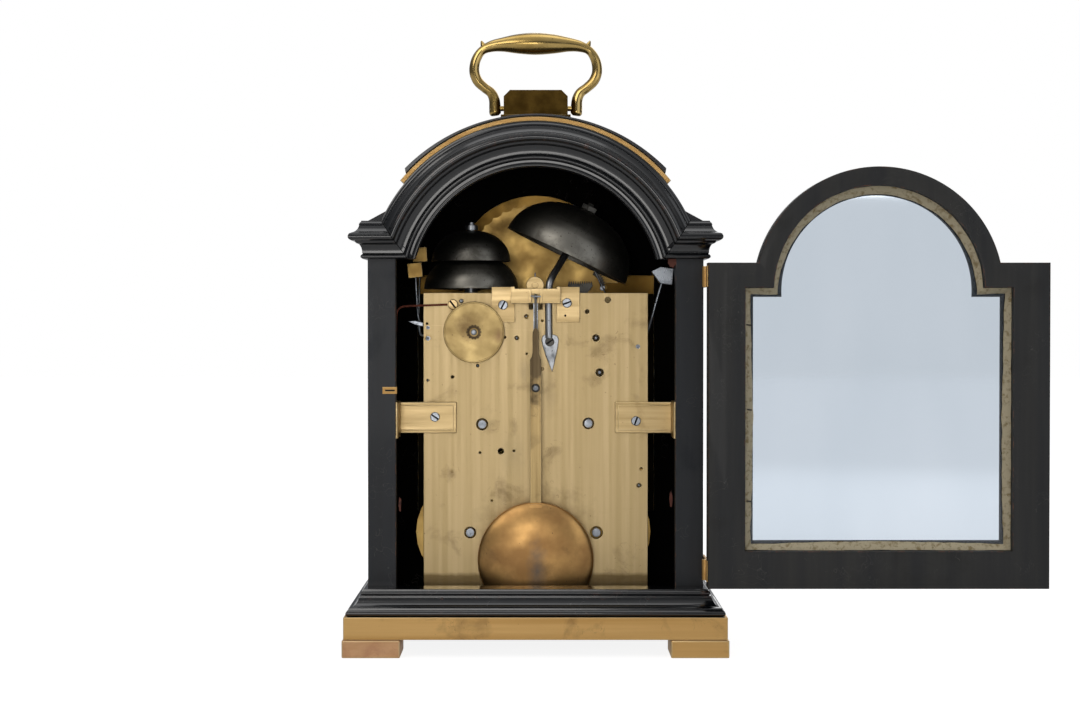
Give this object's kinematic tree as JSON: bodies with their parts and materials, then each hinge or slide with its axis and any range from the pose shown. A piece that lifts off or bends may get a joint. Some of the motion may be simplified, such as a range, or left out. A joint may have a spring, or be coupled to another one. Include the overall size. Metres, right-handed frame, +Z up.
{
  "type": "bracket clock",
  "caption": "Ebonised break-arch bracket clock with brass mounts, carrying handle, glazed doors, fusee movement, bells and a swinging pendulum.",
  "frame": {"origin": "middle of the bottom board's underside, level with the plinth's; the feet reach 12.1 mm below it", "axes": "+X across the clock, to the left as seen from the back; +Y to the back, the side with the pendulum; +Z up"},
  "size_m": [0.4713, 0.1821, 0.4278],
  "materials": {
    "ebonised_wood": "polished black over a close-grained wood, which is a guess, worn brown on its edges",
    "plate_brass": "pale satin with a fine upright grain",
    "bound_brass": "old lacquer, scratched",
    "handle_brass": "polished",
    "bob_brass": "dark golden patina",
    "bell_metal": "dark patina, satin",
    "steel": "grey, satin",
    "blued_steel": "dark blue",
    "silvered_brass": "silvered, matt",
    "door_glass": "clear",
    "cord": "twisted red-brown cord"
  },
  "bodies": {
    "root": {"plinth": "ebonised_wood", "bottom_board": "ebonised_wood", "plinth_band": "bound_brass", "foot_back_left": "bound_brass", "foot_back_right": "bound_brass", "foot_front_left": "bound_brass", "foot_front_right": "bound_brass", "base_moulding": "ebonised_wood", "back_frame": "ebonised_wood", "front_frame": "ebonised_wood", "side_panel_left": "ebonised_wood", "side_panel_right": "ebonised_wood", "roof": "ebonised_wood", "arch_moulding_back": "ebonised_wood", "arch_moulding_front": "ebonised_wood", "cornice_left": "ebonised_wood", "cornice_right": "ebonised_wood", "pad_band": "bound_brass", "top_pad": "ebonised_wood", "handle_block": "handle_brass", "back_hinge_bottom": "bound_brass", "back_hinge_top": "bound_brass", "front_hinge_bottom": "bound_brass", "front_hinge_top": "bound_brass", "dial_plate": "plate_brass", "chapter_ring": "silvered_brass", "back_plate": "plate_brass", "front_plate": "plate_brass", "back_cock": "plate_brass", "movement_bracket_left": "plate_brass", "movement_bracket_right": "plate_brass", "hour_bell": "bell_metal", "hour_bell_stand": "steel", "quarter_bell_large": "bell_metal", "quarter_bell_small": "bell_metal", "quarter_bell_stand": "steel", "repeat_cord": "cord"},
    "back_door": {"back_door_frame": "ebonised_wood", "back_door_glass": "door_glass"},
    "front_door": {"front_door_frame": "ebonised_wood", "front_door_glass": "door_glass"},
    "handle": {"carrying_handle": "handle_brass"},
    "pendulum": {"pendulum_rod": "plate_brass", "pendulum_bob": "bob_brass"},
    "crutch": {"crutch": "steel"},
    "centre_arbor": {"centre_wheel": "plate_brass", "minute_hand": "blued_steel"},
    "hour_pipe": {"hour_hand": "blued_steel"},
    "third_arbor": {"third_wheel": "plate_brass"},
    "escape_arbor": {"escape_wheel": "plate_brass"},
    "going_fusee": {"going_fusee": "plate_brass"},
    "going_barrel": {"going_barrel": "plate_brass"},
    "strike_fusee": {"strike_fusee": "plate_brass"},
    "strike_barrel": {"strike_barrel": "plate_brass"},
    "arch_disc": {"arch_disc": "plate_brass"},
    "hour_hammer": {"hour_hammer": "steel"},
    "quarter_hammer_1": {"quarter_hammer_1": "plate_brass"},
    "quarter_hammer_2": {"quarter_hammer_2": "plate_brass"},
    "repeat_pulley": {"repeat_pulley": "plate_brass"},
    "repeat_roller": {"repeat_roller": "plate_brass"}
  },
  "joints": [
    {"name": "back_door_swing", "type": "hinge", "parent": "root", "child": "back_door", "pos_m": [-0.1142, 0.0743, 0.143], "axis": [0, 0, -1], "range_deg": [0, 180]},
    {"name": "front_door_swing", "type": "hinge", "parent": "root", "child": "front_door", "pos_m": [0.1142, -0.0743, 0.143], "axis": [0, 0, 1], "range_deg": [0, 180]},
    {"name": "handle_swing", "type": "hinge", "parent": "root", "child": "handle", "pos_m": [0, 0, 0.3623], "axis": [1, 0, 0], "range_deg": [-85, 85]},
    {"name": "pendulum_swing", "type": "hinge", "parent": "root", "child": "pendulum", "pos_m": [0, 0.036, 0.2294], "axis": [0, 1, 0], "range_deg": [-5, 5]},
    {"name": "crutch_swing", "type": "hinge", "parent": "root", "child": "crutch", "pos_m": [0, 0, 0.2294], "axis": [0, 1, 0], "range_deg": [-5, 5]},
    {"name": "third_wheel_turn", "type": "hinge", "parent": "root", "child": "third_arbor", "pos_m": [0.00356, 0, 0.18474], "axis": [0, 1, 0], "continuous": true},
    {"name": "minute_hand_turn", "type": "hinge", "parent": "root", "child": "centre_arbor", "pos_m": [0, 0, 0.16], "axis": [0, 1, 0], "continuous": true},
    {"name": "hour_hand_turn", "type": "hinge", "parent": "root", "child": "hour_pipe", "pos_m": [0, -0.05, 0.16], "axis": [0, 1, 0], "continuous": true},
    {"name": "escape_wheel_turn", "type": "hinge", "parent": "root", "child": "escape_arbor", "pos_m": [0, 0, 0.206], "axis": [0, 1, 0], "continuous": true},
    {"name": "going_fusee_turn", "type": "hinge", "parent": "root", "child": "going_fusee", "pos_m": [0.0372, 0, 0.141], "axis": [0, 1, 0], "continuous": true},
    {"name": "going_barrel_turn", "type": "hinge", "parent": "root", "child": "going_barrel", "pos_m": [0.0456, 0, 0.0656], "axis": [0, 1, 0], "continuous": true},
    {"name": "strike_fusee_turn", "type": "hinge", "parent": "root", "child": "strike_fusee", "pos_m": [-0.0366, 0, 0.1416], "axis": [0, 1, 0], "continuous": true},
    {"name": "strike_barrel_turn", "type": "hinge", "parent": "root", "child": "strike_barrel", "pos_m": [-0.0422, 0, 0.0656], "axis": [0, 1, 0], "continuous": true},
    {"name": "arch_disc_turn", "type": "hinge", "parent": "root", "child": "arch_disc", "pos_m": [0, -0.05, 0.245], "axis": [0, 1, 0], "continuous": true},
    {"name": "hour_hammer_swing", "type": "hinge", "parent": "root", "child": "hour_hammer", "pos_m": [-0.0711, 0, 0.195], "axis": [0, 1, 0], "range_deg": [-4, 13], "stiffness_Nm_per_rad": 0.2},
    {"name": "quarter_hammer_1_swing", "type": "hinge", "parent": "root", "child": "quarter_hammer_1", "pos_m": [0.0748, 0, 0.2082], "axis": [0, -1, 0], "range_deg": [-8, 2.5], "stiffness_Nm_per_rad": 0.2},
    {"name": "quarter_hammer_2_swing", "type": "hinge", "parent": "root", "child": "quarter_hammer_2", "pos_m": [0.0749, 0, 0.2007], "axis": [0, -1, 0], "range_deg": [-8, 4], "stiffness_Nm_per_rad": 0.2},
    {"name": "repeat_pulley_turn", "type": "hinge", "parent": "root", "child": "repeat_pulley", "pos_m": [0.0428, 0, 0.205], "axis": [0, 1, 0], "range_deg": [0, 150], "stiffness_Nm_per_rad": 0.01},
    {"name": "repeat_roller_turn", "type": "hinge", "parent": "root", "child": "repeat_roller", "pos_m": [0.0574, 0, 0.2242], "axis": [0, 1, 0], "range_deg": [0, 880]}
  ],
  "couplings": [
    {"joint": "crutch_swing", "follows": "pendulum_swing", "ratio": 1},
    {"joint": "minute_hand_turn", "follows": "third_wheel_turn", "ratio": -0.083333},
    {"joint": "hour_hand_turn", "follows": "third_wheel_turn", "ratio": -0.0069444},
    {"joint": "escape_wheel_turn", "follows": "third_wheel_turn", "ratio": -11},
    {"joint": "going_fusee_turn", "follows": "third_wheel_turn", "ratio": 0.0069444},
    {"joint": "going_barrel_turn", "follows": "third_wheel_turn", "ratio": 0.003129},
    {"joint": "strike_barrel_turn", "follows": "strike_fusee_turn", "ratio": 0.4506},
    {"joint": "repeat_roller_turn", "follows": "repeat_pulley_turn", "ratio": 5.8611}
  ]
}
